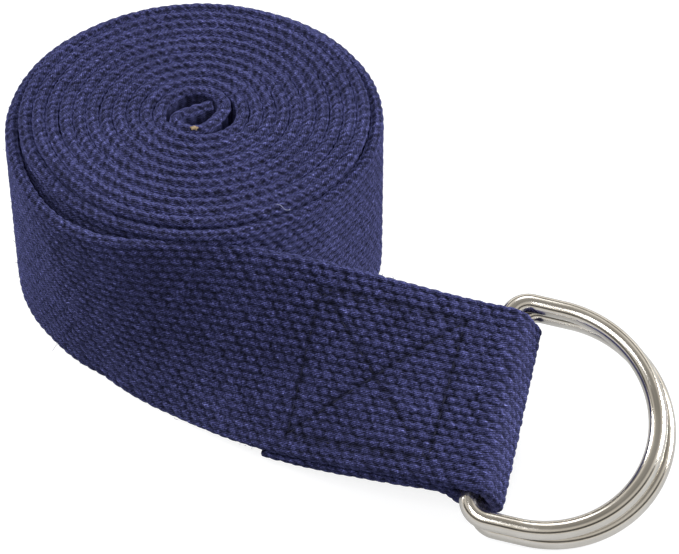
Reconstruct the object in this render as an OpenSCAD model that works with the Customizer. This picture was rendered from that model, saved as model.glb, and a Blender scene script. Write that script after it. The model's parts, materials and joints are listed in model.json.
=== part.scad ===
// Stretching strap: a woven webbing rolled up on edge, whose outer end runs out as a lead,
// leans over and is sewn back round the bars of two stacked D-rings.
// Millimetres, +Z up. The origin is on the floor, on the axis of the roll.

/* [Webbing] */
// Width of the webbing
web_w = 38; // [34:1:40]
// Thickness of the webbing
web_t = 2.4; // [2:0.1:2.5]
// Gap from one layer to the next
layer_gap = 0.3; // [0.2:0.05:0.35]

/* [Roll] */
// Whole turns between the core and the lead
full_turns = 11; // [7:1:11]
// Direction, seen from the axis, in which the lead leaves the roll
leave_angle = 216; // [215:1:220]

/* [Lead] */
// Lean of the webbing where it holds the rings
end_lean = 67; // [60:1:70]
// Heading of the lead where it holds the rings
end_heading = -14; // [-16:1:-12]

/* [Loop and seam] */
// Play between the webbing and each bar
loop_play = 0.35; // [0.3:0.05:0.5]
// Distance from the bars back to the near line of the seam
seam_back = 8; // [7.5:0.5:9]
// Length of the seam along the webbing
seam_len = 28.5; // [24:0.5:30]
// Height of the seam across the webbing
seam_h = 29; // [24:1:30]
// Free tail of webbing behind the far line of the seam
tail_len = 5.7; // [4:0.1:8]
// Length of one stitch
stitch_len = 3.5; // [3:0.1:4.5]
// Diameter of the sewing thread
thread_d = 0.6; // [0.5:0.05:0.7]

/* [D-rings] */
// Diameter of the rings' wire
wire_d = 3.7; // [3.2:0.1:4]
// Room for the webbing to move sideways inside a ring
ring_side_play = 3.7; // [2:0.1:5]
// Depth of a ring from its bar to the centre of its bow
bow_depth = 10; // [7:0.5:12]
// Radius of a ring's corners, at the middle of the wire
corner_r = 4; // [3:0.25:5]
// Droop of the lower ring below the webbing that holds it
ring_droop = 7.9; // [7:0.1:9]
// How much further the upper ring droops, so that it lies on the lower one
ring_close = 0.3; // [0:0.1:0.4]
// Distance between the two bars across the webbing
bar_step = 4.4; // [4.4:0.1:5]
// Distance by which the lower bar sits further out
bar_lead = 1.6; // [1:0.1:2]

/* [Hidden] */
$fn = 48;

pitch = web_t + layer_gap;
wire_r = wire_d / 2;
ring_half_w = (web_w + ring_side_play) / 2 + wire_r;

// The folded core's mid-line from the cut end outwards, counted in turns of pitch,
// and the polar place where the plain spiral takes over from it
core_line = [[1, 1], [-0.3, 0.32], [-1.3, -0.25], [-1.65, -0.95], [-1.15, -1.65],
    [-0.2, -1.95], [0.8, -1.55], [1.5, -0.45], [2, 0.9]];
core_angle = 58;
core_r = 2.5 * pitch;
core_steps = 5;
turn_step = 10;
leave_turn = 360 * full_turns + leave_angle;
roll_r = spiral_r(leave_turn);

// The lead in plan: its middle and its end, measured from the place where it leaves the roll
lead_mid = [26.6, -18.9];
lead_mid_heading = -17.6;
lead_end = [87.6, -37];
lead_mid_rise = 0.2;
lead_pulls = [14.9, 10.1, 17.8, 12.5];
lead_steps = 40;
lead_pitch = 3.5;
// The share of the lead that stays upright, and how late the lean comes in
upright_share = 0.205;
lean_power = 1.4;

// Axes at the rings: along the webbing, across it, and out of its front face
h_end = [-sin(end_heading), cos(end_heading), 0];
t_end = [cos(end_heading), sin(end_heading), 0];
b_end = cos(end_lean) * [0, 0, 1] + sin(end_lean) * h_end;
n_end = cross(t_end, b_end);

// The lower ring stands on the floor, which gives the height of both bars
lower_out = ring_out(ring_droop);
bars_drop = bar_step * n_end.z - bar_lead * t_end.z;
lower_bar_z = wire_r - bow_depth * lower_out.z + ring_half_w * norm([lower_out.z, b_end.z]);
bar_plan = roll_r * [cos(leave_angle), sin(leave_angle)] + lead_end;
upper_bar = [bar_plan.x, bar_plan.y, lower_bar_z + bars_drop];
lower_bar = upper_bar + bar_lead * t_end - bar_step * n_end;
belt_r = wire_r + loop_play + web_t / 2;
// Where the webbing leaves the lower bar, as an angle round it, and how it closes up behind the lead
belt_leave = -145;
closing_pulls = [4, 3.5];
closing_steps = 5;

lead_line = lead_curve();
lead_sums = running_length(lead_line);
lead_len = lead_sums[len(lead_sums) - 1];
lead_x = [for (i = [0 : len(lead_line) - 1]) [lead_sums[i], lead_line[i].x]];
lead_y = [for (i = [0 : len(lead_line) - 1]) [lead_sums[i], lead_line[i].y]];
lead_z = [for (i = [0 : len(lead_line) - 1]) [lead_sums[i], lead_line[i].z]];

// The seam in the webbing's own coordinates: along from the roll, and across from the middle
seam_near = lead_len - seam_back;
seam_far = seam_near - seam_len;
seam_margin = 4;
seam_low = seam_margin - web_w / 2;
seam_high = seam_low + seam_h;
tail_start = seam_near + 0.5;
tail_end = seam_far - tail_len;

// A stitch at its four stations: the way in from each hole, the height of its middle and its width,
// the last two counted in thread diameters
stitch_insets = [0.55, 1.1];
stitch_heights = [-0.65, 0.25, 0.25, -0.65];
stitch_widths = [0.5, 1, 1, 0.5];

// ---- Curves ----

function spiral_r(a) = core_r + pitch * (a - core_angle) / 360;

function spiral_point(a) = spiral_r(a) * [cos(a), sin(a)];

function bezier(p, u) =
    pow(1 - u, 3) * p[0] + 3 * pow(1 - u, 2) * u * p[1] + 3 * (1 - u) * u * u * p[2] + pow(u, 3) * p[3];

// A smooth curve through points: the stretch from p[1] to p[2]
function through(p, u) =
    p[1] + (p[2] - p[0]) * u / 2 + (2 * p[0] - 5 * p[1] + 4 * p[2] - p[3]) * u * u / 2
    + (3 * p[1] - p[0] - 3 * p[2] + p[3]) * pow(u, 3) / 2;

function running_length(line) =
    [for (i = 0, s = 0; i < len(line); s = s + (i < len(line) - 1 ? norm(line[i + 1] - line[i]) : 0), i = i + 1) s];

// Mid-line of the roll in plan, from the cut end inside to the start of the lead
function roll_line() =
    let (inner = [for (p = core_line) pitch * p],
        ctrl = concat([2 * inner[0] - inner[1]], inner,
            [spiral_point(core_angle), spiral_point(core_angle + 30)]))
    concat(
        [for (i = [0 : len(inner) - 1], k = [0 : core_steps - 1])
            through([for (j = [0 : 3]) ctrl[i + j]], k / core_steps)],
        [for (a = [core_angle : turn_step : leave_turn - turn_step / 2]) spiral_point(a)]);

// Mid-line of the lead, from the roll to the top of the upper bar
function lead_curve() =
    let (start = concat(spiral_point(leave_turn), web_w / 2),
        start_way = [-sin(leave_angle), cos(leave_angle), 0],
        mid = start + [lead_mid.x, lead_mid.y, lead_mid_rise],
        mid_way = [cos(lead_mid_heading), sin(lead_mid_heading), 0],
        stop = upper_bar + belt_r * n_end,
        first = [start, start + lead_pulls[0] * start_way, mid - lead_pulls[1] * mid_way, mid],
        second = [mid, mid + lead_pulls[2] * mid_way, stop - lead_pulls[3] * t_end, stop])
    concat([for (k = [0 : lead_steps - 1]) bezier(first, k / lead_steps)],
        [for (k = [0 : lead_steps]) bezier(second, k / lead_steps)]);

function lead_point(s) = [lookup(s, lead_x), lookup(s, lead_y), lookup(s, lead_z)];

function lead_way(s) =
    let (d = lead_point(min(s + 1, lead_len)) - lead_point(max(s - 1, 0))) d / norm(d);

// How far the webbing leans at a distance along the lead
function lead_lean(s) =
    let (u = max(0, (s / lead_len - upright_share) / (1 - upright_share)))
    end_lean * pow(sin(90 * u), lean_power);

// ---- Stations: a place on the mid-surface, the way across the webbing, and the way out of its face ----

function station(p, way, lean) =
    let (side = [-way.y, way.x, 0] / norm([way.x, way.y]),
        across = cos(lean) * cross(way, side) + sin(lean) * side)
    [p, across, cross(way, across)];

function roll_stations() =
    let (line = roll_line(), last = len(line) - 1)
    [for (i = [0 : last])
        let (d = line[min(i + 1, last)] - line[max(i - 1, 0)])
        station([line[i].x, line[i].y, web_w / 2], [d.x, d.y, 0] / norm(d), 0)];

function lead_station(s) = station(lead_point(s), lead_way(s), lead_lean(s));

function lead_stations() =
    let (count = ceil(lead_len / lead_pitch))
    [for (k = [0 : count - 1]) lead_station(lead_len * k / count)];

// A station in the plane across the bars: x along the webbing, y out of its front face
function belt_station(x, y, turn) =
    [upper_bar + x * t_end + y * n_end, b_end, cos(turn) * t_end + sin(turn) * n_end];

// Round the outside of both bars, from the front face to the back
function belt_stations() =
    let (slant = atan2(bar_lead, bar_step))
    concat(
        [for (a = [90 : -(90 - slant) / 3 : slant - 1]) belt_station(belt_r * cos(a), belt_r * sin(a), a)],
        [for (a = [slant : -(slant - belt_leave) / 6 : belt_leave - 1])
            belt_station(bar_lead + belt_r * cos(a), -bar_step + belt_r * sin(a), a)]);

// The sewn-down tail lies one layer behind the lead
function tail_station(s) =
    let (front = lead_station(s)) [front[0] - pitch * front[2], front[1], -front[2]];

// From the lower bar up to the near line of the seam
function closing_stations() =
    let (belt = belt_stations(),
        last = belt[len(belt) - 1],
        goal = tail_station(tail_start),
        way_out = cross(last[2], b_end),
        curve = [last[0], last[0] - closing_pulls[0] * way_out, goal[0] + closing_pulls[1] * t_end, goal[0]])
    [for (k = [1 : closing_steps - 1])
        let (u = k / closing_steps,
            p = bezier(curve, u),
            d = bezier(curve, u + 0.05) - bezier(curve, u - 0.05),
            face = cross(b_end, d))
        [p, b_end, -face / norm(face)]];

function tail_stations() =
    let (count = ceil((tail_start - tail_end) / lead_pitch))
    [for (k = [0 : count]) tail_station(tail_start + (tail_end - tail_start) * k / count)];

// ---- Solids ----

// A solid bar of four corners swept through stations
module sweep(stations, width, thick) {
    corners = [for (q = stations, c = [[1, -1], [1, 1], [-1, 1], [-1, -1]])
        q[0] + c[0] * thick / 2 * q[2] + c[1] * width / 2 * q[1]];
    last = 4 * (len(stations) - 1);
    sides = [for (i = [0 : len(stations) - 2], j = [0 : 3])
        let (a = 4 * i + j, b = 4 * i + (j + 1) % 4) [[a, b, b + 4], [a, b + 4, a + 4]]];
    ends = [[3, 2, 1], [3, 1, 0], [last, last + 1, last + 2], [last, last + 2, last + 3]];
    polyhedron(points = corners, faces = concat([for (pair = sides, f = pair) f], ends));
}

module webbing() {
    color("midnightblue")
        sweep(concat(roll_stations(), lead_stations(), belt_stations(), closing_stations(), tail_stations()),
            web_w, web_t);
}

// One stitch from hole to hole: its ends dive into the webbing and its middle lies on the face
module stitch(from, to, side) {
    length = norm(to - from);
    way = (to - from) / length;
    insets = concat(stitch_insets, [length - stitch_insets[1], length - stitch_insets[0]]);
    face = side > 0 ? web_t / 2 : pitch + web_t / 2;
    sweep([for (k = [0 : 3])
        let (at = from + insets[k] * way,
            q = lead_station(at.x),
            out = side * q[2],
            along = lead_way(at.x) * way.x + q[1] * way.y)
        [q[0] + at.y * q[1] + (face + stitch_heights[k] * thread_d) * out,
            stitch_widths[k] * cross(out, along), out]],
        thread_d, thread_d);
}

// A row of stitches between two corners of the seam
module stitch_row(from, to, side) {
    count = 2 * round(norm(to - from) / stitch_len / 2);
    for (k = [0 : count - 1])
        stitch(from + (to - from) * k / count, from + (to - from) * (k + 1) / count, side);
}

// The four sides of the box and its two diagonals
module box_seam(side) {
    corners = [[seam_far, seam_low], [seam_near, seam_low], [seam_near, seam_high], [seam_far, seam_high]];
    for (k = [0 : 3])
        stitch_row(corners[k], corners[(k + 1) % 4], side);
    for (k = [0 : 1])
        stitch_row(corners[k], corners[k + 2], side);
}

module needle_thread() {
    color("black") box_seam(1);
}

module bobbin_thread() {
    color("black") box_seam(-1);
}

// A ring of round wire: straight bar on the Y axis, two legs, and a half-round bow towards +X
module d_ring() {
    straight = ring_half_w - corner_r;
    rotate([90, 0, 0]) cylinder(d = wire_d, h = 2 * straight, center = true);
    for (side = [-1, 1]) {
        translate([corner_r, side * straight, 0]) rotate([0, 0, side > 0 ? 90 : 180])
            rotate_extrude(angle = 90) translate([corner_r, 0]) circle(d = wire_d);
        translate([corner_r, side * ring_half_w, 0]) rotate([0, 90, 0])
            cylinder(d = wire_d, h = bow_depth - corner_r);
    }
    translate([bow_depth, 0, 0]) rotate([0, 0, -90])
        rotate_extrude(angle = 180) translate([ring_half_w, 0]) circle(d = wire_d);
}

// The way from a ring's bar towards its bow, for a droop below the webbing
function ring_out(droop) = cos(droop) * t_end - sin(droop) * n_end;

module ring_at(bar, droop) {
    out = ring_out(droop);
    up = cross(out, b_end);
    multmatrix([
        [out.x, b_end.x, up.x, bar.x],
        [out.y, b_end.y, up.y, bar.y],
        [out.z, b_end.z, up.z, bar.z],
        [0, 0, 0, 1]]) d_ring();
}

module d_ring_upper() {
    color("silver") ring_at(upper_bar, ring_droop + ring_close);
}

module d_ring_lower() {
    color("lightsteelblue") ring_at(lower_bar, ring_droop);
}

webbing();
needle_thread();
bobbin_thread();
d_ring_upper();
d_ring_lower();
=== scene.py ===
import json
import math

import bmesh
import bpy
import numpy as np
from bpy.props import FloatProperty, FloatVectorProperty, IntProperty, PointerProperty
from mathutils import Matrix, Vector
from mathutils.bvhtree import BVHTree


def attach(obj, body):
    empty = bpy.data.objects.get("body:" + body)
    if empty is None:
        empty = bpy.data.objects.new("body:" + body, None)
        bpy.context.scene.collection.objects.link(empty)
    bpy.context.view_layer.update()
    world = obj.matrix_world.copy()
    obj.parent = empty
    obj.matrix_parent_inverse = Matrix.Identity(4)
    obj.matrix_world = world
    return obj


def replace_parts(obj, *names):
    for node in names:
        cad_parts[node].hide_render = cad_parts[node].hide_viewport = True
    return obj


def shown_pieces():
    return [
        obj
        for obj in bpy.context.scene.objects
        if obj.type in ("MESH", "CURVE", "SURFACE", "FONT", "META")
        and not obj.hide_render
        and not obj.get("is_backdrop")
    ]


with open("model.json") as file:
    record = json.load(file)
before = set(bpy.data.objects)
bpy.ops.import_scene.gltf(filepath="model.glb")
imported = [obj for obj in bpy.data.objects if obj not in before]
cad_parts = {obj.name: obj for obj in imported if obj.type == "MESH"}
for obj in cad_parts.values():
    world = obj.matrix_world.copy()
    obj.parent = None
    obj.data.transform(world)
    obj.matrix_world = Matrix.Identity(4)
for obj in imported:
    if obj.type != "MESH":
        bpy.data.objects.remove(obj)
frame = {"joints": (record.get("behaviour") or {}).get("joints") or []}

bl_info = {
    "name": "Rolled stretching strap",
    "version": (1, 0, 0),
    "blender": (4, 5, 0),
    "location": "View3D > Sidebar > Strap",
    "description": "Dresses a rolled webbing strap and its D-rings around their packed CAD frame",
    "category": "Object",
}

# Lengths are in metres and angles in radians. x runs to the photograph's right, y away from the camera
# and z up; the floor is at z = 0, and the roll's axis at x = y = 0.
MM, DEG = 0.001, math.radians(1)
UP = np.array([0, 0, 1.0])
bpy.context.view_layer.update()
UPPER_JOINT, LOWER_JOINT = "upper_ring_hinge", "lower_ring_hinge"

# The photograph's frame, and the places of things in it
PHOTO_W, PHOTO_H = 679, 554
PHOTO_LONG = max(PHOTO_W, PHOTO_H)
IMAGE_POINTS = {
    "object_left": (4, None),
    "object_right": (675, None),
    "object_top": (None, 3),
    "object_bottom": (None, 552),
    "loop_top_corner": (540, 327),
    "loop_low_corner": (502, 510),
    "seam_far_top": (321, 291),
    "seam_far_low": (289, 435),
    "seam_near_top": (463, 323),
    "seam_near_low": (428, 460),
    "seam_cross": (376, 378),
    "ring_inner_right": (648, 428),
    "core_speck": (194, 128),
    "lint_on_roll": (283, 208),
}


def prop(kind, **settings):
    """A short call for one kind of property."""
    def make(name, description, default):
        return kind(name=name, description=description, default=default, **settings)
    return make


number_prop, count_prop = prop(FloatProperty), prop(IntProperty)
length_prop, angle_prop = prop(FloatProperty, unit="LENGTH"), prop(FloatProperty, subtype="ANGLE")
point_prop = prop(FloatVectorProperty, unit="LENGTH")
colour_prop = prop(FloatVectorProperty, subtype="COLOR")


class StrapWebbing(bpy.types.PropertyGroup):
    width: length_prop("Width", "Width of the webbing", 38 * MM)
    thick: length_prop("Thickness", "Thickness over the yarns", 2.4 * MM)
    gap: length_prop("Layer gap", "Gap from one layer of the roll to the next", 0.3 * MM)
    turns: number_prop("Turns", "Angle at which the lead leaves the roll, in turns", 11.6)
    core_angle: angle_prop("Core angle", "Where the spiral takes over from the core", 58 * DEG)
    lift: length_prop("Lift", "How far the inner turns stand proud of the outermost one", 2.2 * MM)
    give: number_prop("Give", "Share of its radius by which the roll gives way behind the lead", 0.028)
    bulge: length_prop("Bulge", "How far the outer turn's top leans out where the lead starts", 1.8 * MM)
    knuckle_len: length_prop("Knuckle length", "Pitch of the yarn knuckles along the webbing", 2.25 * MM)
    columns: count_prop("Columns", "Columns of knuckles round the webbing", 50)
    crest: length_prop("Crest", "How far the knuckles' crests stand over the plain strip", 0.25 * MM)
    relief: length_prop("Relief", "Depth of the grooves between knuckles", 0.6 * MM)
    slant: number_prop("Slant", "Slant of a knuckle, from the twist of its yarn", 0.8)
    fibres: count_prop("Fibres", "Loose fibres along the edges and faces", 1300)
    fibre_d: length_prop("Fibre", "Diameter of a loose fibre", 0.08 * MM)
    seed: count_prop("Seed", "Seed of the unevenness", 11)
    yarn: colour_prop("Yarn", "Colour of a knuckle's crest", (0.038, 0.0398, 0.119))


class StrapLead(bpy.types.PropertyGroup):
    mid: point_prop("Middle", "Middle of the lead from where it leaves the roll", (0.0266, -0.0189, 0.0002))
    mid_heading: angle_prop("Middle heading", "Heading at the middle of the lead", -17.6 * DEG)
    end_heading: angle_prop("End heading", "Heading at the rings", -14 * DEG)
    end_lean: angle_prop("End lean", "Lean of the webbing at the rings", 67 * DEG)
    upright: number_prop("Upright share", "Share of the lead that stays upright", 0.176)
    lean_power: number_prop("Lean power", "How late the lean comes in", 1.25)
    play: length_prop("Loop play", "Play between the webbing and each bar", 0.35 * MM)
    seam_back: length_prop("Seam back", "From the bars back to the seam", 8 * MM)
    seam_len: length_prop("Seam length", "Length of the seam along the webbing", 28.5 * MM)
    seam_low: length_prop("Seam bottom", "Bottom of the seam from the webbing's middle", -15 * MM)
    seam_h: length_prop("Seam height", "Height of the seam", 29 * MM)
    tail_len: length_prop("Tail", "Free tail behind the seam", 5.7 * MM)
    tail_drop: length_prop("Tail drop", "How far the tail's end sits below the lead's edge", 1.6 * MM)
    stitch_len: length_prop("Stitch", "Length of one stitch", 3.5 * MM)
    thread_d: length_prop("Thread", "Diameter of the sewing thread", 0.4 * MM)
    thread_colour: colour_prop("Thread colour", "Colour of the sewing thread", (0.013, 0.014, 0.042))


class StrapRings(bpy.types.PropertyGroup):
    wire_d: length_prop("Wire", "Diameter of the wire", 3.7 * MM)
    half_w: length_prop("Half width", "Half width at the middle of the wire", 22.7 * MM)
    corner_r: length_prop("Corner", "Radius of the corners", 4 * MM)
    bow_depth: length_prop("Bow depth", "From the bar to the bow's centre", 10 * MM)
    droop_upper: angle_prop("Upper droop", "Droop of the upper ring", 8.2 * DEG)
    droop_lower: angle_prop("Lower droop", "Droop of the lower ring", 7.9 * DEG)
    plating: colour_prop("Plating", "Colour of the bright plating", (0.86, 0.83, 0.775))


class StrapStage(bpy.types.PropertyGroup):
    aim: point_prop("Aim", "Point that the camera looks at", (0.028465, -0.005618, 0.0))
    distance: length_prop("Distance", "Camera distance from the aim", 0.61044)
    elevation: angle_prop("Elevation", "Camera elevation", 43.213 * DEG)
    lens: number_prop("Lens", "Focal length in millimetres", 155)
    sensor: number_prop("Sensor", "Sensor width in millimetres", 36)


GROUPS = {"strap_webbing": StrapWebbing, "strap_lead": StrapLead, "strap_rings": StrapRings,
          "strap_stage": StrapStage}

# What one operator hands on to the next: the camera, the webbing's path and section, and the pieces
WORK = {}


def settings():
    """The values of the four property groups: the webbing's, the lead's, the rings' and the stage's."""
    return [getattr(bpy.context.scene, group) for group in GROUPS]


# ---- Lines, directions and seeded unevenness ----

def unit(v):
    return v / np.linalg.norm(v, axis=-1, keepdims=True)


def heading(angle):
    """The level direction at this angle from x."""
    return np.array([math.cos(angle), math.sin(angle), 0])


def at(s, known, values):
    return np.stack([np.interp(s, known, values[:, k]) for k in range(values.shape[1])], -1)


def length_of(place):
    return np.concatenate([[0], np.cumsum(np.linalg.norm(np.diff(place, axis=0), axis=1))])


def ways_along(place):
    way = np.empty_like(place)
    way[1:-1] = place[2:] - place[:-2]
    way[0], way[-1] = place[1] - place[0], place[-1] - place[-2]
    return unit(way)


def bezier(p, steps):
    u = np.linspace(0, 1, steps + 1)[:, None]
    return (1 - u) ** 3 * p[0] + 3 * (1 - u) ** 2 * u * p[1] + 3 * (1 - u) * u ** 2 * p[2] + u ** 3 * p[3]


def through(points, steps):
    """A smooth line through the points, from the second one up to the last but one."""
    u = np.linspace(0, 1, steps, endpoint=False)[:, None]
    return np.concatenate([
        b + (c - a) * u / 2 + (2 * a - 5 * b + 4 * c - d) * u ** 2 / 2 + (3 * b - a - 3 * c + d) * u ** 3 / 2
        for a, b, c, d in zip(points, points[1:], points[2:], points[3:])])


def smooth(x):
    x = np.clip(x, 0, 1)
    return x * x * (3 - 2 * x)


def bell(x, spread):
    return np.exp(-(x / spread) ** 2)


def wander(s, span, seed):
    """Smooth seeded noise from -1 to 1 along a length."""
    knots = np.random.default_rng(seed).uniform(-1, 1, 4000)
    u = s / span
    k = np.floor(u).astype(int)
    f = smooth(u - k)
    return knots[k % len(knots)] * (1 - f) + knots[(k + 1) % len(knots)] * f


def scatter(a, b, seed):
    """A seeded number from -0.5 to 0.5 for each pair of whole numbers."""
    x = np.sin(a * 12.9898 + b * 78.233 + seed) * 43758.5453
    return x - np.floor(x) - 0.5


# ---- The webbing's mid-line ----

# The folded core from the cut end outwards and the spiral's first radius, in pitches of the roll
CORE_LINE = ((1, 1), (-0.3, 0.32), (-1.3, -0.25), (-1.65, -0.95), (-1.15, -1.65),
             (-0.2, -1.95), (0.8, -1.55), (1.5, -0.45), (2, 0.9))
SPIRAL_START = 2.5

# How far the lead's two curves are pulled along their ends: at the roll, at the middle, at the bars
ROLL_PULL, MID_PULLS, BAR_PULL = 14.9 * MM, (10.1 * MM, 17.8 * MM), 12.5 * MM

# The stretch that closes the loop: the angle at which it leaves the lower bar, and its curve's pulls
LOOP_LEAVE, LOOP_PULLS = -145 * DEG, (4 * MM, 3.5 * MM)

# How far ahead of the seam the tail starts, how far ahead of that the seam pulls at its face, and the
# share of its drop that it starts with
TAIL_AHEAD, TAIL_PULL_AHEAD, TAIL_FIRST_DROP = 0.5 * MM, 1 * MM, 0.25


class Path:
    """Mid-line of the webbing: place, way across, way out of its face, and length so far, all as arrays."""

    def __init__(self, web, lead, rings):
        self.pitch = web.thick + web.gap
        self.leave = math.tau * web.turns
        roll = self.roll(web)
        self.roll_len = length_of(roll[0])[-1]
        front = self.front(web, lead, rings, roll[0][-1])
        self.lead_len = length_of(front[0])[-1]
        self.seam_near = self.lead_len - lead.seam_back
        self.seam_far = self.seam_near - lead.seam_len
        belt = self.belt()
        tail = self.tail(lead, front)
        closing = self.closing(belt, tail)
        parts = [roll, [x[1:] for x in front], [x[1:] for x in belt], [x[1:-1] for x in closing], tail]
        self.place, self.across, self.out = (np.concatenate([p[i] for p in parts]) for i in range(3))
        self.s = length_of(self.place)
        self.total = self.s[-1]
        self.belt_start = self.roll_len + self.lead_len
        self.tail_start = self.total - length_of(tail[0])[-1]
        angle = np.unwrap(np.arctan2(roll[0][:, 1], roll[0][:, 0]))
        self.angle = angle - angle[-1] + self.leave

    def roll(self, web):
        """From the cut end in the core to where the lead leaves."""
        def spiral(a):
            r = SPIRAL_START * self.pitch + self.pitch * (a - web.core_angle) / math.tau
            return np.stack([r * np.cos(a), r * np.sin(a)], -1)

        inner = self.pitch * np.array(CORE_LINE, float)
        ends = spiral(web.core_angle + 30 * DEG * np.arange(2))
        core = through(np.concatenate([[2 * inner[0] - inner[1]], inner, ends]), 30)
        turns = spiral(np.append(np.arange(web.core_angle, self.leave, DEG), self.leave))
        plan = np.concatenate([core, turns])
        place = np.column_stack([plan, np.full(len(plan), web.width / 2)])
        across = np.tile(UP, (len(place), 1))
        return [place, across, np.cross(ways_along(place), across)]

    def front(self, web, lead, rings, start):
        """The lead, from the roll to the top of the upper bar."""
        self.end_way = heading(lead.end_heading)
        side = np.cross(UP, self.end_way)
        self.end_across = math.cos(lead.end_lean) * UP + math.sin(lead.end_lean) * side
        self.end_out = np.cross(self.end_way, self.end_across)
        self.bars = [bar_place(UPPER_JOINT), bar_place(LOWER_JOINT)]
        self.belt_r = rings.wire_d / 2 + lead.play + web.thick / 2
        start_way = np.cross(UP, heading(self.leave))
        mid, mid_way = start + np.array(lead.mid), heading(lead.mid_heading)
        stop = self.bars[0] + self.belt_r * self.end_out
        first = bezier([start, start + ROLL_PULL * start_way, mid - MID_PULLS[0] * mid_way, mid], 160)
        second = bezier([mid, mid + MID_PULLS[1] * mid_way, stop - BAR_PULL * self.end_way, stop], 160)
        place = np.concatenate([first, second[1:]])
        share = length_of(place) / length_of(place)[-1]
        bend = np.clip((share - lead.upright) / (1 - lead.upright), 0, 1)
        lean = (lead.end_lean * np.sin(bend * math.pi / 2) ** lead.lean_power)[:, None]
        way = ways_along(place)
        level = unit(np.cross(UP, way))
        across = np.cos(lean) * np.cross(way, level) + np.sin(lean) * level
        return [place, across, np.cross(way, across)]

    def belt(self):
        """Round the outside of both bars."""
        step = self.bars[1] - self.bars[0]
        ahead, above = step @ self.end_way, step @ self.end_out
        turn = math.atan2(ahead, -above)
        places, outs = [], []
        for x, y, angles in ((0, 0, np.linspace(math.pi / 2, turn, 24)),
                             (ahead, above, np.linspace(turn, LOOP_LEAVE, 48))):
            out = np.cos(angles)[:, None] * self.end_way + np.sin(angles)[:, None] * self.end_out
            places.append(self.bars[0] + x * self.end_way + y * self.end_out + self.belt_r * out)
            outs.append(out)
        place = np.concatenate(places)
        return [place, np.tile(self.end_across, (len(place), 1)), np.concatenate(outs)]

    def tail(self, lead, front):
        """The sewn-down tail, one layer behind the lead and running back along it."""
        s = length_of(front[0])
        keep = np.arange(self.seam_near + TAIL_AHEAD, self.seam_far - lead.tail_len, -0.4 * MM)
        place, across, out = (at(keep, s, x) for x in front)
        self.drop = lead.tail_drop * np.linspace(TAIL_FIRST_DROP, 1, len(keep))
        return [place - self.pitch * unit(out) - self.drop[:, None] * unit(across), unit(across), -unit(out)]

    def closing(self, belt, tail):
        """From the lower bar up to the tail."""
        last, stop = belt[0][-1], tail[0][0]
        away = np.cross(belt[2][-1], self.end_across)
        line = bezier([last, last - LOOP_PULLS[0] * away, stop + LOOP_PULLS[1] * self.end_way, stop], 30)
        across = np.tile(self.end_across, (len(line), 1))
        return [line, across, np.cross(ways_along(line), across)]

    def lead_place(self, s, v, out):
        """A point by its length along the lead, its place across it and its height over the mid-surface."""
        place, across, face = self.stations(np.atleast_1d(s) + self.roll_len)
        return place + across * np.reshape(v, (-1, 1)) + face * np.reshape(out, (-1, 1))

    def stations(self, s):
        return at(s, self.s, self.place), unit(at(s, self.s, self.across)), unit(at(s, self.s, self.out))


def bar_place(joint):
    return np.array(next(j["pos_m"] for j in frame["joints"] if j["name"] == joint))


# How the roll has settled: its turns rise from here on, counted inwards from the lead's start
RISE_FROM, RISE_OVER = 120 * DEG, 340 * DEG

# They rise less on the roll's right side
RIGHT, RIGHT_SPREAD, RIGHT_DROP = 0, 38 * DEG, 0.28

# They give way in this direction, behind the lead's start, and the first of them stays low there
GAP, GAP_SPREAD, GAP_OVER, GAP_TURN_SPREAD, GAP_DROP = 228 * DEG, 30 * DEG, 200 * DEG, 300 * DEG, 0.7

# Where along the lead the outer turn's top leans out, and how widely
BULGE_AT, BULGE_SPREAD = 6 * MM, 12 * MM


def facing(angle, direction, spread):
    """How nearly places round the roll lie in one direction, from 0 to 1."""
    return bell(np.angle(np.exp(1j * (angle - direction))), spread)


def settled(path, web, s):
    """The mid-line as the roll has settled."""
    place, across, out = path.stations(s)
    angle = np.interp(s, path.s[:len(path.angle)], path.angle)
    inwards = path.leave - angle
    right, gap = facing(angle, RIGHT, RIGHT_SPREAD), facing(angle, GAP, GAP_SPREAD)
    low = GAP_DROP * gap * bell(inwards - math.tau, GAP_TURN_SPREAD)
    lift = web.lift * smooth((inwards - RISE_FROM) / RISE_OVER) * (1 - RIGHT_DROP * right) * (1 - low)
    give = web.give * gap * smooth(inwards / GAP_OVER)
    rolled = (s < path.roll_len)[:, None]
    lean = web.bulge * bell(s - path.roll_len - BULGE_AT, BULGE_SPREAD)[:, None]
    place = place + rolled * (lift[:, None] * across - give[:, None] * place * (1, 1, 0)) + lean / 2 * out
    return place, unit(across + lean / web.width * out), unit(out - lean / web.width * across)


# ---- The webbing's cross-section and weave ----

# How far from its edges the webbing starts to round off, and the power of that curve: 1 is an ellipse
EDGE_ROUND, EDGE_POWER = 1.2 * MM, 0.92

# A knuckle's oval in its pitch and in the width of its column, and how much knuckles differ
KNUCKLE_LONG, KNUCKLE_WIDE = 0.66, 0.6
SIZE_SPREAD, PLACE_SPREAD, CREST_SPREAD = 0.2, 0.16, 0.12

# Columns on each side of an edge that have the full slant, the share of it that the others have, and
# how much shallower an edge's grooves are
SLANTED_COLUMNS, FACE_SLANT, EDGE_SHALLOW = 2, 0.4, 0.1

# The height of an oval at which its groove starts, and the power that makes its crown broad
GROOVE_AT, CROWN_POWER = 0.34, 0.8

# How strongly and how widely the seam's lines and needle holes pull the face in, how deep in all, and
# how much painted shade darkens the yarn there
LINE_PULL, LINE_SPREAD = 0.4, 0.45 * MM
HOLE_PULL, HOLE_SPREAD = 0.6, 0.55 * MM
SEAM_DEPTH, SEAM_PAINTED_SHADE = 0.42 * MM, 0.85

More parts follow.
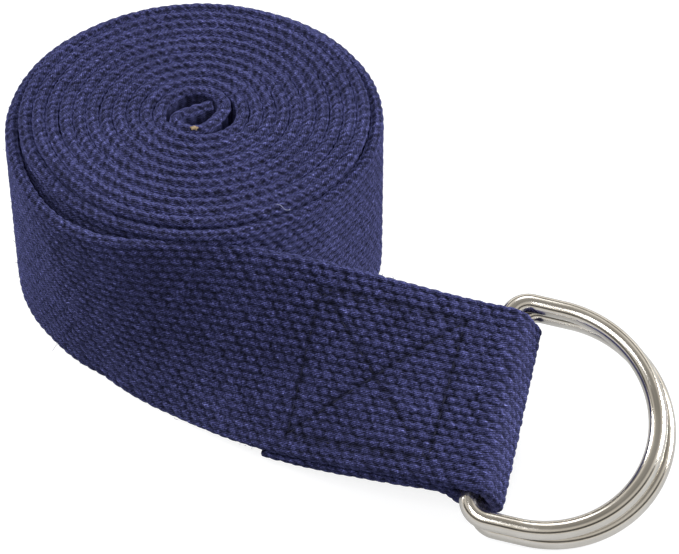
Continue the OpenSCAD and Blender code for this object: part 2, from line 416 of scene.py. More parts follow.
# Unevenness of the roll's turns up and down and of the strip in and out: how far, over what length, and
# how far from the roll's end or from the bars it is at its full size
UNEVEN_UP, UNEVEN_UP_SPAN, UNEVEN_UP_FADE = 0.14 * MM, 11 * MM, 60 * MM
UNEVEN_OUT, UNEVEN_OUT_SPAN, UNEVEN_OUT_FADE = 0.1 * MM, 8 * MM, 30 * MM

# Points of a face that lie this far out of the mid-surface are on the strip's outer side
OUTER_SIDE = 0.6 * MM

# UV units in a metre
UV_SCALE = 100


class Section:
    """The webbing's rounded outline, by length round it, from the middle of the lower edge up the front."""

    def __init__(self, web):
        half, flat = web.thick / 2 + web.crest, web.width / 2 + web.crest - EDGE_ROUND
        phi = np.linspace(0, math.pi / 2, 40)
        near, far = np.sin(phi) ** EDGE_POWER, np.cos(phi) ** EDGE_POWER
        low = np.column_stack([-flat - EDGE_ROUND * far, half * near])
        high = np.column_stack([flat + EDGE_ROUND * near, half * far])
        front = np.concatenate([low, high])
        back = front[::-1] * [1, -1]
        self.outline = np.concatenate([front, back[1:]])
        self.q = length_of(self.outline)
        self.round = self.q[-1]
        self.cell = self.round / web.columns
        d = np.gradient(self.outline, self.q, axis=0)
        self.normal = unit(np.column_stack([-d[:, 1], d[:, 0]]))

    def samples(self, per_cell, zones):
        """Lengths round the outline: each zone is a stretch in shares of it and its spacing in cells."""
        out = []
        for start, stop, every in zones:
            n = max(1, round((stop - start) * self.round / self.cell * per_cell / every))
            out.append(np.linspace(start, stop, n, endpoint=False) * self.round)
        return np.concatenate(out + [[self.round]])

    def at(self, q):
        return at(q, self.q, self.outline), unit(at(q, self.q, self.normal))


def knuckles(web, cell, s, q):
    """Height of the weave from 0 in the grooves to 1 on a crest: staggered columns of slanting ovals."""
    nearest = np.floor(q / cell + 0.5)
    best = np.zeros_like(s)
    for col in (nearest - 1, nearest, nearest + 1):
        dv = (q / cell - col) * cell
        col = np.mod(col, web.columns)
        from_edge = np.abs(np.mod(col + web.columns / 4, web.columns / 2) - web.columns / 4)
        slant = web.slant * np.where(from_edge < SLANTED_COLUMNS, 1, FACE_SLANT)
        u = (s + slant * dv) / web.knuckle_len + 0.5 * np.mod(col, 2)
        row = np.floor(u)
        size = 1 + SIZE_SPREAD * scatter(row, col, web.seed)
        ds = (u - row - 0.5 + PLACE_SPREAD * scatter(row, col, web.seed + 5)) * web.knuckle_len
        crest = 1 + CREST_SPREAD * scatter(row, col, web.seed + 9)
        far = (ds / (KNUCKLE_LONG * web.knuckle_len * size)) ** 2 + (dv / (KNUCKLE_WIDE * cell * size)) ** 2
        best = np.maximum(best, crest * np.sqrt(np.clip(1 - far, 0, 1)))
    return np.maximum((best - GROOVE_AT) / (1 - GROOVE_AT), 0) ** CROWN_POWER


def seam_lines(path, lead):
    """The box seam's six lines as pairs of corners, in lengths along the lead and across it."""
    low, high = lead.seam_low, lead.seam_low + lead.seam_h
    corners = np.array([(path.seam_far, low), (path.seam_near, low), (path.seam_near, high),
                        (path.seam_far, high)])
    return [corners[[a, b]] for a, b in ((0, 1), (1, 2), (2, 3), (3, 0), (0, 2), (1, 3))]


def stitch_count(a, b, stitch_len):
    """Stitches on one line of the seam, always an even number."""
    return 2 * round(np.linalg.norm(b - a) / stitch_len / 2)


def seam_pull(lines, s, v, stitch_len):
    """How far the stitches pull the face in, from 0 to 1, at places along and across the lead."""
    pull = np.zeros_like(s)
    for a, b in lines:
        d = b - a
        long, count = np.linalg.norm(d), stitch_count(a, b, stitch_len)
        share = np.clip(((s - a[0]) * d[0] + (v - a[1]) * d[1]) / long ** 2, 0, 1)
        off = np.hypot(s - a[0] - share * d[0], v - a[1] - share * d[1])
        hole = np.abs((share * count + 0.5) % 1 - 0.5) * long / count
        pull = np.maximum(pull, LINE_PULL * bell(off, LINE_SPREAD)
                          + HOLE_PULL * bell(np.hypot(off, hole), HOLE_SPREAD))
    return pull


def seam_dent(path, lead, s, flat):
    """The seam's pull on the outer side of the lead and of the tail, at places of the section's outline."""
    lines, outer = seam_lines(path, lead), flat[:, 1] > OUTER_SIDE
    on_lead = s - path.roll_len
    behind = path.seam_near + TAIL_AHEAD - (s - path.tail_start)
    dropped = flat[:, 0] - np.interp(s, path.s[-len(path.drop):], path.drop)
    on_tail = outer & (s > path.tail_start - TAIL_PULL_AHEAD)
    return np.select([on_tail, outer & (on_lead > 0) & (s < path.belt_start)],
                     [seam_pull(lines, behind, dropped, lead.stitch_len),
                      seam_pull(lines, on_lead, flat[:, 0], lead.stitch_len)])


# ---- Meshes ----

def vertices_of(mesh):
    co = np.empty(len(mesh.vertices) * 3)
    mesh.vertices.foreach_get("co", co)
    return co.reshape(-1, 3)


def primitive(name, create, **settings):
    """A mesh as one of bmesh's create operators makes it."""
    bm = bmesh.new()
    create(bm, **settings)
    mesh = bpy.data.meshes.new(name)
    bm.to_mesh(mesh)
    bm.free()
    return mesh


def grid_mesh(name, across, up):
    """A flat grid of vertices as a mesh, with each vertex's column and row."""
    mesh = primitive(name, bmesh.ops.create_grid, x_segments=across - 1, y_segments=up - 1, size=0.5)
    co = vertices_of(mesh)
    return mesh, *(np.rint((co[:, k] + 0.5) * (n - 1)).astype(int) for k, n in enumerate((across, up)))


def close_mesh(mesh, verts, rows=None):
    """Move the vertices, cut the faces that join two rows, weld the seams and cap the ends."""
    mesh.vertices.foreach_set("co", verts.astype(np.float32).ravel())
    bm = bmesh.new()
    bm.from_mesh(mesh)
    if rows is not None:
        between = [f for f in bm.faces if len({rows[v.index] for v in f.verts}) > 1]
        bmesh.ops.delete(bm, geom=between, context="FACES")
    bmesh.ops.remove_doubles(bm, verts=bm.verts, dist=0.002 * MM)
    bmesh.ops.holes_fill(bm, edges=[e for e in bm.edges if e.is_boundary], sides=0)
    return finished(bm, mesh)


def finished(bm, mesh):
    """Write the bmesh to the mesh, normals outwards, and smooth but for the webbing's many-sided caps."""
    bmesh.ops.recalc_face_normals(bm, faces=bm.faces)
    for f in bm.faces:
        f.smooth = len(f.verts) < 9
    bm.to_mesh(mesh)
    bm.free()
    return mesh


def strip_mesh(name, path, section, s, q):
    """A closed stretch of webbing over lengths s along it and q round it."""
    web, lead, _, _ = settings()
    mesh, i, j = grid_mesh(name, len(s), len(q))
    sv, qv = s[i], q[j]
    place, across, out = settled(path, web, sv)
    flat, normal = section.at(qv)
    height = knuckles(web, section.cell, sv, np.mod(qv, section.round))
    pull = seam_dent(path, lead, sv, flat)
    shallow = 1 - EDGE_SHALLOW * bell(np.abs(flat[:, 0]) - web.width / 2, EDGE_ROUND)
    sink = web.relief * shallow * (1 - height) + SEAM_DEPTH * pull
    up = UNEVEN_UP * (1 + wander(sv, UNEVEN_UP_SPAN, 3)) * smooth((path.roll_len - sv) / UNEVEN_UP_FADE)
    fade = smooth(np.abs(sv - path.belt_start) / UNEVEN_OUT_FADE)
    shove = UNEVEN_OUT * wander(sv, UNEVEN_OUT_SPAN, 4) * fade
    flat = flat - normal * sink[:, None] + np.column_stack([web.crest + up, shove])
    # The weave's height less the seam's pull, kept as the mask of the painted shade in the grooves and along
    # the seam
    weave = mesh.attributes.new("weave", "FLOAT", "POINT")
    # The seam's pull also darkens the mask, as painted shade in the stitch lines and needle holes
    weave.data.foreach_set("value", np.clip(height - SEAM_PAINTED_SHADE * pull, 0, 1).astype(np.float32))
    corners = np.empty(len(mesh.loops), dtype=np.int32)
    mesh.loops.foreach_get("vertex_index", corners)
    uv = mesh.uv_layers.new(name="strap")
    uv.data.foreach_set("uv", (np.column_stack([sv, qv])[corners] * UV_SCALE).astype(np.float32).ravel())
    return close_mesh(mesh, place + across * flat[:, :1] + out * flat[:, 1:])


def tubes_mesh(name, mids, outs, radius, around):
    """Capped round threads through rows of points; outs tell which way each section stands."""
    count, along = mids.shape[:2]
    mesh, i, j = grid_mesh(name, count * along, around + 1)
    way = np.concatenate([ways_along(m) for m in mids])
    across = unit(np.cross(outs.reshape(-1, 3), way))
    turn = (math.tau * j / around)[:, None]
    off = np.cos(turn) * across[i] + np.sin(turn) * np.cross(way, across)[i]
    return close_mesh(mesh, mids.reshape(-1, 3)[i] + radius * off, i // along)


# How deep a stitch lies in the face, how far its ends dive and how far they stay off the needle holes
THREAD_SINK, THREAD_DIVE, STITCH_INSET = 0.12 * MM, 0.6 * MM, 0.55 * MM


def thread_mesh(name, path, web, lead, side):
    """The box seam's stitches on one face, each a thread that dives into the webbing at both ends."""
    face = (web.thick / 2 if side > 0 else path.pitch + web.thick / 2) - THREAD_SINK
    u = np.linspace(0, 1, 9)
    arch = np.sin(np.pi * np.clip(u, 0.02, 0.98)) ** 0.5
    mids, outs = [], []
    for a, b in seam_lines(path, lead):
        count = stitch_count(a, b, lead.stitch_len)
        for k in range(count):
            p, q = a + (b - a) * k / count, a + (b - a) * (k + 1) / count
            inset = STITCH_INSET / np.linalg.norm(q - p)
            line = p + (q - p) * (inset + (1 - 2 * inset) * u)[:, None]
            mids.append(path.lead_place(line[:, 0], line[:, 1], side * (face + (arch - 1) * THREAD_DIVE)))
            outs.append(side * path.stations(line[:, 0] + path.roll_len)[2])
    return tubes_mesh(name, np.array(mids), np.array(outs), lead.thread_d / 2, 8)


# Where loose fibres stand: the share of them in the roll, on an edge and on the upper edge of the rest,
# how far round an edge they spread, and the webbing's last length in the roll that shows from outside
ROLL_SHARE, EDGE_SHARE, UPPER_SHARE, EDGE_SPREAD, OUTER_LEN = 0.5, 0.6, 0.85, 0.012, 0.24


def fibre_mesh(name, path, section, web):
    """Loose fibres that stand off the webbing's edges and faces, each a thin bent tube."""
    rng = np.random.default_rng(web.seed)
    n = web.fibres
    rolled = rng.random(n) < ROLL_SHARE
    s = np.where(rolled, rng.uniform(0, path.roll_len, n),
                 rng.uniform(path.roll_len - OUTER_LEN, path.belt_start, n))
    on_edge = rolled | (rng.random(n) < EDGE_SHARE)
    upper = rolled | (rng.random(n) < UPPER_SHARE)
    q = np.where(on_edge, 0.5 * upper + rng.normal(0, EDGE_SPREAD, n), rng.uniform(0, 0.5, n))
    flat, normal = section.at(np.mod(q, 1) * section.round)
    place, across, out = settled(path, web, s)
    root = place + across * flat[:, :1] + out * flat[:, 1:]
    stand = across * normal[:, :1] + out * normal[:, 1:]
    lie = unit(rng.normal(size=(n, 3)))
    span = (0.35 + rng.exponential(0.3, (n, 1, 1))) * MM
    t = np.linspace(0, 1, 5)[None, :, None]
    bent = stand[:, None] * (0.7 * t - 0.45 * t ** 2) + lie[:, None] * (0.35 * t + 0.45 * t ** 2)
    mids = (root - 0.15 * MM * stand)[:, None] + span * bent
    mids[:, :, 2] = np.maximum(mids[:, :, 2], 0.1 * MM)
    outs = np.repeat((np.cross(lie, stand) + 0.1 * stand)[:, None], 5, axis=1)
    return tubes_mesh(name, mids, outs, web.fibre_d / 2, 3)


def dirt_mesh(name, middle, _):
    """A rough grain of dirt, which lies the same whichever way the webbing faces."""
    bm = bmesh.new()
    bmesh.ops.create_icosphere(bm, subdivisions=3, radius=0.55 * MM,
                               matrix=Matrix.Translation(middle) @ Matrix.Diagonal((1.3, 0.9, 0.7, 1)))
    for v in bm.verts:
        v.co += (v.co - middle) * 0.35 * math.sin(v.co.x * 9000) * math.cos(v.co.y * 7000)
    return finished(bm, bpy.data.meshes.new(name))


def lint_mesh(name, middle, up):
    """A short bent bit of thread that lies on the webbing."""
    t = np.linspace(-1, 1, 12)[:, None]
    middle, up = np.array(middle), np.array(up)
    side = unit(np.cross(up, (0.3, 1.0, 0.2)))
    bent = 1.5 * t * side + (0.12 + 0.25 * t ** 2) * up + 0.35 * np.sin(3 * t) * np.cross(side, up)
    line = middle + bent * MM
    return tubes_mesh(name, line[None], np.tile(up, (1, 12, 1)), 0.07 * MM, 6)


def ring_mesh(name, rings, bar, out, across):
    """A D-ring of round wire, drawn as one section run round the bar, corners, legs and bow."""
    bm = bmesh.new()
    bmesh.ops.create_circle(bm, segments=40, radius=rings.wire_d / 2, cap_ends=False,
                            matrix=Matrix.Rotation(math.pi / 2, 4, "X"))
    section = bm.edges[:] + bm.verts[:]
    corner, depth = rings.corner_r, rings.bow_depth
    straight, still = rings.half_w - corner, (0, 0, 0)
    for centre, angle, move, steps in (
            (still, 0, (0, -straight, 0), 10),
            ((corner, -straight, 0), math.pi / 2, still, 14),
            (still, 0, (depth - corner, 0, 0), 4),
            ((depth, 0, 0), math.pi, still, 72),
            (still, 0, (corner - depth, 0, 0), 4),
            ((corner, straight, 0), math.pi / 2, still, 14),
            (still, 0, (0, -straight, 0), 10)):
        section = bmesh.ops.spin(bm, geom=section, cent=centre, axis=UP, angle=angle, steps=steps,
                                 dvec=Vector(move) / steps, use_duplicate=False)["geom_last"]
    bmesh.ops.remove_doubles(bm, verts=bm.verts, dist=0.01 * MM)
    turn = np.column_stack([out, across, np.cross(out, across), bar])
    bmesh.ops.transform(bm, matrix=Matrix([*turn.tolist(), (0, 0, 0, 1)]), verts=bm.verts)
    return finished(bm, bpy.data.meshes.new(name))


def add_object(name, data):
    added = bpy.data.objects.new(name, data)
    bpy.context.scene.collection.objects.link(added)
    return added


def add_piece(name, mesh, body, material):
    piece = add_object(name, mesh)
    mesh.materials.append(material)
    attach(piece, body)
    return piece


# ---- Materials ----

class Nodes:
    """The node tree of a material or a world, built by short calls."""

    def __init__(self, owner, end="ShaderNodeOutputMaterial"):
        owner.use_nodes = True
        self.owner, self.tree = owner, owner.node_tree
        self.tree.nodes.clear()
        self.end = self.add(end)

    def add(self, kind, inputs=None, **settings):
        node = self.tree.nodes.new(kind)
        for key, value in settings.items():
            setattr(node, key, value)
        for key, value in (inputs or {}).items():
            self.put(node, key, value)
        return node

    def put(self, node, key, value):
        socket = node.inputs[key]
        if isinstance(value, bpy.types.NodeSocket):
            self.tree.links.new(value, socket)
        else:
            socket.default_value = value

    def finish(self, kind, inputs):
        """End in this shader, and give back what the tree belongs to."""
        self.put(self.end, 0, self.add(kind, inputs).outputs[0])
        return self.owner

    def place(self):
        return self.add("ShaderNodeTexCoord").outputs["Object"]

    def turned(self, vector, degrees, offset=0.0, scale=(1.0, 1.0, 1.0)):
        return self.add("ShaderNodeMapping", {
            "Vector": vector, "Rotation": (0, 0, degrees * DEG), "Location": (offset, 0, 0),
            "Scale": scale}).outputs["Vector"]

    def noise(self, vector, scale, detail, **more):
        return self.add("ShaderNodeTexNoise", {"Vector": vector, "Scale": scale, "Detail": detail,
                                               **more}).outputs["Fac"]

    def bands(self, vector, scale, distortion, detail, detail_scale):
        return self.add("ShaderNodeTexWave", {
            "Vector": vector, "Scale": scale, "Distortion": distortion, "Detail": detail,
            "Detail Scale": detail_scale}, wave_type="BANDS").outputs["Fac"]

    def bump(self, height, strength, distance):
        return self.add("ShaderNodeBump", {"Height": height, "Strength": strength,
                                           "Distance": distance}).outputs["Normal"]

    def ranged(self, value, low, high, at_low=0.0, at_high=1.0):
        return self.add("ShaderNodeMapRange", {"Value": value, "From Min": low, "From Max": high,
                                               "To Min": at_low, "To Max": at_high}).outputs[0]

    def ramp(self, fac, stops):
        node = self.add("ShaderNodeValToRGB", {"Fac": fac})
        marks = node.color_ramp.elements
        marks[0].position, marks[0].color = stops[0]
        marks[1].position, marks[1].color = stops[-1]
        for place, colour in stops[1:-1]:
            marks.new(place).color = colour
        return node.outputs["Color"]

    def math(self, operation, a, b=0.0):
        return self.add("ShaderNodeMath", {0: a, 1: b}, operation=operation).outputs[0]

    def mix(self, fac, a, b, mode="MIX"):
        node = self.add("ShaderNodeMix", data_type="RGBA", blend_type=mode)
        for key, value in (("Factor", fac), (6, a), (7, b)):
            self.put(node, key, value)
        return node.outputs[2]

    def shaded(self, colour, pattern, stops, share=1.0):
        """The colour, made darker and lighter over a pattern."""
        return self.mix(share, colour, self.ramp(pattern, stops), "MULTIPLY")


def new_material(name):
    return Nodes(bpy.data.materials.new(name))


def tone(colour, *shares):
    """A colour at one share of its brightness, or at a share for each of its channels."""
    return *(c * k for c, k in zip(colour, shares * 3 if len(shares) == 1 else shares)), 1


def tint(warm, blue):
    """A factor for a colour: one share for its red and green, and one for its blue."""
    return warm, warm, blue, 1


def webbing_material(colour, edge):
    """Yarn at its own colour on the crests and darkened by painted shade down into the grooves and along the
    seam, and its turns along the edge at this height in the UV map.
    """
    n = new_material("navy_webbing")
    place, strip = n.place(), n.add("ShaderNodeUVMap", uv_map="strap").outputs["UV"]
    weave = n.add("ShaderNodeAttribute", attribute_name="weave").outputs["Fac"]
    twist = n.bands(n.turned(strip, 62), 7.5, 1.4, 2.0, 3.0)
    blotch, grain = n.noise(place, 70.0, 3.0), n.noise(place, 2200.0, 4.0, Roughness=0.7)
    # Painted shade: full yarn colour on a crest, about a third of it on the flanks, nearly black in the
    # grooves and the seam's holes
    shown = n.ramp(weave, [(0.0, tone(colour, 0.06)), (0.5, tone(colour, 0.355)), (1.0, tone(colour, 1))])
    shown = n.shaded(shown, blotch, [(0.3, tint(0.8, 0.82)), (0.7, tint(1.15, 1.12))])
    dots = [(0.38, tint(0.36, 0.42)), (0.5, tint(0.95, 0.95)), (0.62, tint(2.4, 2.25))]
    shown = n.shaded(shown, grain, dots)
    for degrees, offset, stops in ((35, 0.0, [(0.58, tint(1, 1)), (0.68, tint(2.3, 2.1))]),
                                   (-40, 5.0, [(0.33, tint(0.35, 0.4)), (0.43, tint(1, 1))])):
        hairs = n.noise(n.turned(strip, degrees, offset, (8.0, 30.0, 1.0)), 1.0, 1.5)
        shown = n.shaded(shown, hairs, stops)
    shown = n.shaded(shown, twist, [(0.1, tint(0.72, 0.76)), (0.9, tint(1.3, 1.26))])
    height = n.add("ShaderNodeSeparateXYZ", {"Vector": strip}).outputs["Y"]
    rim = n.ranged(n.math("ABSOLUTE", n.math("SUBTRACT", height, edge)), 0.07, 0.15, 1.0, 0.0)
    turns = n.bands(n.turned(strip, -32), 2.6, 3.4, 2.5, 1.8)
    shown = n.shaded(shown, turns, [(0.1, tint(0.58, 0.62)), (0.7, tint(1.16, 1.14))], rim)
    fine = n.math("ADD", n.math("MULTIPLY", twist, 0.7), n.math("MULTIPLY", grain, 0.8))
    fine = n.math("ADD", fine, n.math("MULTIPLY", turns, rim))
    return n.finish("ShaderNodeBsdfPrincipled", {
        "Base Color": shown, "Roughness": 0.88, "Specular IOR Level": 0.12,
        "Normal": n.bump(fine, 0.8, 0.22 * MM), "Sheen Weight": 0.25, "Sheen Roughness": 0.5,
        "Sheen Tint": (0.3, 0.33, 0.85, 1)})


def thread_material(colour):
    n = new_material("dark_thread")
    ply = n.noise(n.place(), 1800.0, 2.0)
    shown = n.ramp(ply, [(0.35, tone(colour, 0.3)), (0.7, tone(colour, 1))])
    return n.finish("ShaderNodeBsdfPrincipled", {
        "Base Color": shown, "Roughness": 0.7, "Specular IOR Level": 0.2,
        "Normal": n.bump(ply, 0.5, 0.1 * MM)})


def nickel_material(colour):
    n = new_material("bright_nickel")
    place = n.place()
    cloud, fine = n.noise(place, 90.0, 3.0), n.noise(place, 1500.0, 3.0)
    shown = n.ramp(cloud, [(0.35, tone(colour, 0.9, 0.89, 0.87)), (0.65, tone(colour, 1))])
    return n.finish("ShaderNodeBsdfPrincipled", {
        "Base Color": shown, "Metallic": 1.0, "Roughness": n.ranged(cloud, 0.3, 0.75, 0.13, 0.22),
        "Normal": n.bump(fine, 0.06, 0.03 * MM)})


def speck_material(name, colour, rough):
    n = new_material(name)
    shown = n.ramp(n.noise(n.place(), 900.0, 3.0), [(0.35, tone(colour, 0.35)), (0.65, tone(colour, 1))])
    return n.finish("ShaderNodeBsdfPrincipled", {"Base Color": shown, "Roughness": rough})


# ---- Camera and image points ----

def set_camera(stage):
    data = bpy.data.cameras.new("camera")
    data.sensor_fit = "AUTO"
    data.sensor_width, data.lens = stage.sensor, stage.lens
    data.clip_start, data.clip_end = 0.01, 10
    camera = add_object("camera", data)
    back = Vector((0, -math.cos(stage.elevation), math.sin(stage.elevation)))
    camera.location = Vector(stage.aim) + stage.distance * back
    camera.rotation_euler = (math.pi / 2 - stage.elevation, 0, 0)
    bpy.context.scene.camera = camera
    bpy.context.view_layer.update()
    return camera


def image_xy(camera, points):
    """Where points in the row frame show in the photograph's frame."""
    p = np.asarray(points, float).reshape(-1, 3)
    m, data = np.array(camera.matrix_world.inverted()), camera.data
    p = p @ m[:3, :3].T + m[:3, 3]
    scale = PHOTO_LONG * data.lens / data.sensor_width / -p[:, 2]
    return np.column_stack([PHOTO_W / 2 - data.shift_x * PHOTO_LONG + p[:, 0] * scale,
                            PHOTO_H / 2 + data.shift_y * PHOTO_LONG - p[:, 1] * scale])


def placed(camera, xy, tree, verts):
    """The point of a surface that shows at a place in the photograph: (place, normal)."""
    data = camera.data
    ray = Vector((xy[0] - PHOTO_W / 2 + data.shift_x * PHOTO_LONG,
                  PHOTO_H / 2 - xy[1] + data.shift_y * PHOTO_LONG,
                  -PHOTO_LONG * data.lens / data.sensor_width))
    ray = (camera.matrix_world.to_3x3() @ ray).normalized()
    start = camera.matrix_world.translation
    hit, normal, _, _ = tree.ray_cast(start, ray)
    if hit is None:
        away = verts - np.array(start)
        off = np.linalg.norm(away - (away @ np.array(ray))[:, None] * np.array(ray), axis=1)
        hit, normal, _, _ = tree.find_nearest(Vector(verts[off.argmin()]))
    return hit, normal


def mesh_tree(objects):
    """One BVHTree over finished meshes, and their vertices."""
    verts, polys, start = [], [], 0
    for o in objects:
        verts.append(vertices_of(o.data))
        polys += [tuple(start + v for v in p.vertices) for p in o.data.polygons]
        start += len(o.data.vertices)
    verts = np.concatenate(verts)
    return BVHTree.FromPolygons(verts.tolist(), polys), verts


def show_errors(camera, pieces):
    """How far, in pixels across and down, each thing shows from its image point."""
    path, (web, lead, _, _) = WORK["path"], settings()
    seen = {o.name: image_xy(camera, vertices_of(o.data)) for o in pieces}
    fold, wire = seen["webbing_loop"], seen["d_ring_upper_wire"]
    ring_x, ring_y = IMAGE_POINTS["ring_inner_right"]
    level = wire[(np.abs(wire[:, 1] - ring_y) < 3) & (wire[:, 0] > ring_x - 40)]
    shown = {
        "loop_top_corner": fold[(fold @ (1, -0.6)).argmax()],
        "loop_low_corner": fold[(fold @ (1, 0.8)).argmax()],
        "ring_inner_right": (level[:, 0].min(), ring_y),
    }
    (far_low, near_low), _, (near_top, far_top) = seam_lines(path, lead)[:3]
    stitches = vertices_of(WORK["threads"][0].data)
    for name, (s, v) in (("seam_far_top", far_top), ("seam_far_low", far_low), ("seam_near_top", near_top),
                         ("seam_near_low", near_low), ("seam_cross", (far_low + near_top) / 2)):
        off = np.linalg.norm(stitches - path.lead_place(s, v, web.thick / 2), axis=1)
        shown[name] = image_xy(camera, stitches[off.argmin()])[0]
    for name in ("core_speck", "lint_on_roll"):
        shown[name] = seen[name].mean(0)
    every = np.concatenate([xy for name, xy in seen.items() if name != "webbing_fibres"])
    (left, top), (right, bottom) = every.min(0), every.max(0)
    shown.update(object_left=(left, None), object_right=(right, None), object_top=(None, top),
                 object_bottom=(None, bottom))
    return {name: [None if want is None else round(float(got - want), 1)
                   for got, want in zip(shown[name], IMAGE_POINTS[name])] for name in IMAGE_POINTS}


# ---- Stage ----

FLOOR_HALF, ROOM_R, LAMP_SIZE = 1.5, 1.4, 0.3
SKY, WARM, GREY, WHITE = (0.80, 0.86, 1.0, 1), (1, 0.95, 0.87), (0.25, 0.25, 0.25, 1), (1, 1, 1, 1)

# How brightly the floor shows, to the camera and in the rings, and how strong the sky's light is
FLOOR_SEEN, FLOOR_IN_RINGS, SKY_LIGHT = 0.86, 0.3, 0.4

# The room's bands in front of the object and behind it, by height from floor to top: (height, brightness)
BANDS_AHEAD = ((0.1, 0.75), (0.24, 0.035), (0.42, 0.05), (0.58, 0.62), (0.72, 0.56), (0.88, 0.2),
               (1.0, 0.26))
BANDS_BEHIND = ((0.08, 0.4), (0.2, 1.2), (0.36, 1.0), (0.5, 0.07), (0.62, 0.12), (0.78, 0.85), (0.9, 0.45),
                (1.0, 0.26))

# The lamps: name, place, watts and colour, all turned to one point
LAMPS = (("left", (-0.65, 0.25, 0.4), 4.6, (1.0, 0.99, 0.97)),
         ("right", (0.75, 0.05, 0.3), 7.8, (1.0, 1.0, 1.0)),
         ("key", (-0.1, -0.48, 0.72), 3.3, (1.0, 1.0, 1.0)),
         ("top", (0.1, 0.4, 0.7), 0.6, (0.97, 0.98, 1.0)))
LAMP_AIM = Vector((0.02, -0.02, 0.02))


def add_floor():
    """A floor that the camera sees as white and that keeps the object's shadow."""
    mesh = primitive("floor", bmesh.ops.create_grid, x_segments=1, y_segments=1, size=FLOOR_HALF)
    n = new_material("white_floor")
    rays = n.add("ShaderNodeLightPath").outputs
    seen = n.math("MULTIPLY", rays["Is Camera Ray"], FLOOR_SEEN)
    for ray, share in (("Is Glossy Ray", FLOOR_IN_RINGS), ("Is Transmission Ray", FLOOR_SEEN)):
        seen = n.math("ADD", seen, n.math("MULTIPLY", rays[ray], share))
    lit = n.add("ShaderNodeBsdfDiffuse", {"Color": GREY}).outputs[0]
    glow = n.add("ShaderNodeEmission", {"Color": WHITE, "Strength": seen}).outputs[0]
    mesh.materials.append(n.finish("ShaderNodeAddShader", {0: lit, 1: glow}))
    add_object("floor", mesh)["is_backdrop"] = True


def add_room():
    """A room of light and dark bands that only the bright rings reflect."""
    mesh = primitive("reflected_room", bmesh.ops.create_uvsphere, u_segments=48, v_segments=24,
                     radius=ROOM_R)
    n = new_material("room_glow")
    way = n.add("ShaderNodeSeparateXYZ", {"Vector": n.place()}).outputs
    height, back = n.math("DIVIDE", way["Z"], ROOM_R), n.ranged(way["Y"], -0.25, 0.15)
    ahead, behind = (n.ramp(height, [(h, tone(WARM, v)) for h, v in bands])
                     for bands in (BANDS_AHEAD, BANDS_BEHIND))
    glow = n.mix(back, ahead, behind)
    mesh.materials.append(n.finish("ShaderNodeEmission", {"Color": glow, "Strength": 1.0}))
    room = add_object("reflected_room", mesh)
    room.visible_camera = room.visible_diffuse = room.visible_shadow = room.visible_transmission = False
    room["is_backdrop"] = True


def white_world():
    """Soft bluish light from all round, which shows as white."""
    n = Nodes(bpy.data.worlds.new("studio"), "ShaderNodeOutputWorld")
    rays = n.add("ShaderNodeLightPath").outputs
    seen = n.math("ADD", rays["Is Camera Ray"], rays["Is Transmission Ray"])
    soft = n.add("ShaderNodeBackground", {"Color": SKY, "Strength": SKY_LIGHT}).outputs[0]
    white = n.add("ShaderNodeBackground", {"Color": WHITE, "Strength": 1.0}).outputs[0]
    return n.finish("ShaderNodeMixShader", {0: seen, 1: soft, 2: white})


def add_lamp(name, place, power, colour):
    data = bpy.data.lights.new(name, "AREA")
    data.energy, data.size, data.color = power, LAMP_SIZE, colour
    lamp = add_object(name, data)
    lamp.location = place
    lamp.rotation_euler = (LAMP_AIM - Vector(place)).to_track_quat("-Z", "Y").to_euler()


# ---- Operators ----

# The detail of the webbing: mesh steps in a knuckle's length and in a column's width, and how many
# columns the fine zone at an edge has
STEPS_ALONG, STEPS_ACROSS, EDGE_COLUMNS = 6, 5, 3.2

# How much of the roll shows from outside, and how far ahead of the bars the loop's stretch starts
LAST_TURN, LOOP_AHEAD = 385 * DEG, 3 * MM


def webbing_stretches(web, path):
    """The webbing's four stretches: name, lengths along it, and zones round its section."""
    edge = EDGE_COLUMNS / web.columns / 2
    step = web.knuckle_len / STEPS_ALONG
    last_turn = np.interp(path.leave - LAST_TURN, path.angle, path.s[:len(path.angle)])
    joins = np.rint(np.array([last_turn, path.roll_len, path.belt_start - LOOP_AHEAD]) / step) * step
    ends = [0, *joins, path.total]
    roll = [(0, 0.02, 2), (0.02, 0.5 - edge, 30), (0.5 - edge, 0.5 + edge, 1), (0.5 + edge, 0.98, 30),
            (0.98, 1, 2)]
    turn = [(0, 0.5 + edge, 1), (0.5 + edge, 1 - edge, 5), (1 - edge, 1, 1)]
    whole = [(0, 1, 1)]
    for name, start, stop, every, zones in zip(("roll", "turn", "lead", "loop"), ends, ends[1:],
                                               (1.2, 1.2, 1, 1), (roll, turn, whole, whole)):
        yield name, np.linspace(start, stop, round((stop - start) / step / every) + 1), zones


class STRAP_OT_camera(bpy.types.Operator):
    """Set the camera at the photograph's viewing angle"""
    bl_idname = "strap.camera"
    bl_label = "Camera"

    def execute(self, context):
        WORK["camera"] = set_camera(context.scene.strap_stage)
        return {"FINISHED"}


class STRAP_OT_webbing(bpy.types.Operator):
    """Weave the webbing along its path, in stretches that are as fine as they show"""
    bl_idname = "strap.webbing"
    bl_label = "Webbing"

    def execute(self, context):
        web, lead, rings, _ = settings()
        path, section = Path(web, lead, rings), Section(web)
        if not np.isfinite(path.place).all():
            raise RuntimeError("the webbing's path has no finite length")
        cloth = webbing_material(web.yarn, section.round / 2 * UV_SCALE)
        made = []
        for name, s, zones in webbing_stretches(web, path):
            mesh = strip_mesh("webbing_" + name, path, section, s, section.samples(STEPS_ACROSS, zones))
            made.append(add_piece("webbing_" + name, mesh, "strap", cloth))
        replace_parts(made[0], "webbing")
        WORK.update(path=path, section=section, webbing=made)
        return {"FINISHED"}


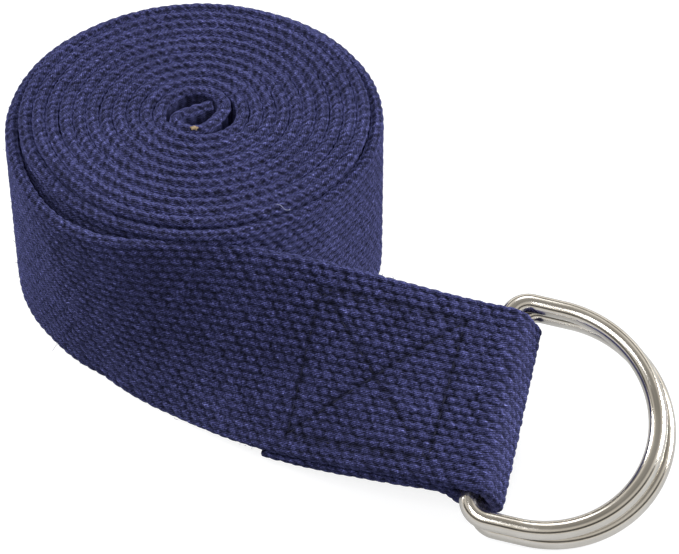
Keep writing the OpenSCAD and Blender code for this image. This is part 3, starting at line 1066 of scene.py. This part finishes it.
class STRAP_OT_threads(bpy.types.Operator):
    """Sew the box seam on both faces"""
    bl_idname = "strap.threads"
    bl_label = "Threads"

    def execute(self, context):
        web, lead, _, _ = settings()
        thread = thread_material(lead.thread_colour)
        WORK["threads"] = []
        for node, side in (("needle_thread", 1), ("bobbin_thread", -1)):
            mesh = thread_mesh(node + "_stitches", WORK["path"], web, lead, side)
            piece = add_piece(node + "_stitches", mesh, "strap", thread)
            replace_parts(piece, node)
            WORK["threads"].append(piece)
        return {"FINISHED"}


class STRAP_OT_rings(bpy.types.Operator):
    """Bend the two D-rings"""
    bl_idname = "strap.rings"
    bl_label = "D-rings"

    def execute(self, context):
        rings, path = context.scene.strap_rings, WORK["path"]
        plating = nickel_material(rings.plating)
        for bar, node, body, droop in zip(path.bars, ("d_ring_upper", "d_ring_lower"),
                                          ("upper_ring", "lower_ring"),
                                          (rings.droop_upper, rings.droop_lower)):
            out = math.cos(droop) * path.end_way - math.sin(droop) * path.end_out
            mesh = ring_mesh(node + "_wire", rings, bar, out, path.end_across)
            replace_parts(add_piece(node + "_wire", mesh, body, plating), node)
        return {"FINISHED"}


class STRAP_OT_fibres(bpy.types.Operator):
    """Raise loose fibres on the webbing, with a pale bit of lint and a grain of dirt"""
    bl_idname = "strap.fibres"
    bl_label = "Fibres"

    def execute(self, context):
        mesh = fibre_mesh("webbing_fibres", WORK["path"], WORK["section"], context.scene.strap_webbing)
        fibre = speck_material("navy_fibre", (0.05, 0.054, 0.15), 0.8)
        WORK["fibres"] = [add_piece("webbing_fibres", mesh, "strap", fibre)]
        tree, verts = mesh_tree(WORK["webbing"])
        for name, shape, colour in (("core_speck", dirt_mesh, (0.42, 0.3, 0.16)),
                                    ("lint_on_roll", lint_mesh, (0.30, 0.32, 0.45))):
            mesh = shape(name, *placed(WORK["camera"], IMAGE_POINTS[name], tree, verts))
            speck = speck_material(name, colour, 0.9)
            WORK["fibres"].append(add_piece(name, mesh, "strap", speck))
        return {"FINISHED"}


class STRAP_OT_stage(bpy.types.Operator):
    """Set a white floor, soft light, a plain world and a room for the rings to reflect"""
    bl_idname = "strap.stage"
    bl_label = "Stage"

    def execute(self, context):
        context.scene.view_settings.view_transform = "Standard"
        add_floor()
        add_room()
        context.scene.world = white_world()
        for lamp in LAMPS:
            add_lamp(*lamp)
        return {"FINISHED"}


class STRAP_PT_panel(bpy.types.Panel):
    """The strap's pieces in the 3D view's sidebar"""
    bl_label = "Stretching strap"
    bl_idname = "STRAP_PT_panel"
    bl_space_type = "VIEW_3D"
    bl_region_type = "UI"
    bl_category = "Strap"

    def draw(self, context):
        for operator in OPERATORS:
            self.layout.operator(operator.bl_idname)
        for values in settings():
            for name in values.__annotations__:
                self.layout.prop(values, name)


OPERATORS = (STRAP_OT_camera, STRAP_OT_webbing, STRAP_OT_threads, STRAP_OT_fibres, STRAP_OT_rings,
             STRAP_OT_stage)
CLASSES = (*GROUPS.values(), *OPERATORS, STRAP_PT_panel)


def register():
    for c in CLASSES:
        bpy.utils.register_class(c)
    for name, group in GROUPS.items():
        setattr(bpy.types.Scene, name, PointerProperty(type=group))


def unregister():
    for name in GROUPS:
        delattr(bpy.types.Scene, name)
    for c in reversed(CLASSES):
        bpy.utils.unregister_class(c)


def main():
    register()
    for operator in OPERATORS:
        area, name = operator.bl_idname.split(".")
        getattr(getattr(bpy.ops, area), name)()
    web, path = settings()[0], WORK["path"]
    show_errors(WORK["camera"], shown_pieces())


if __name__ == "__main__":
    main()
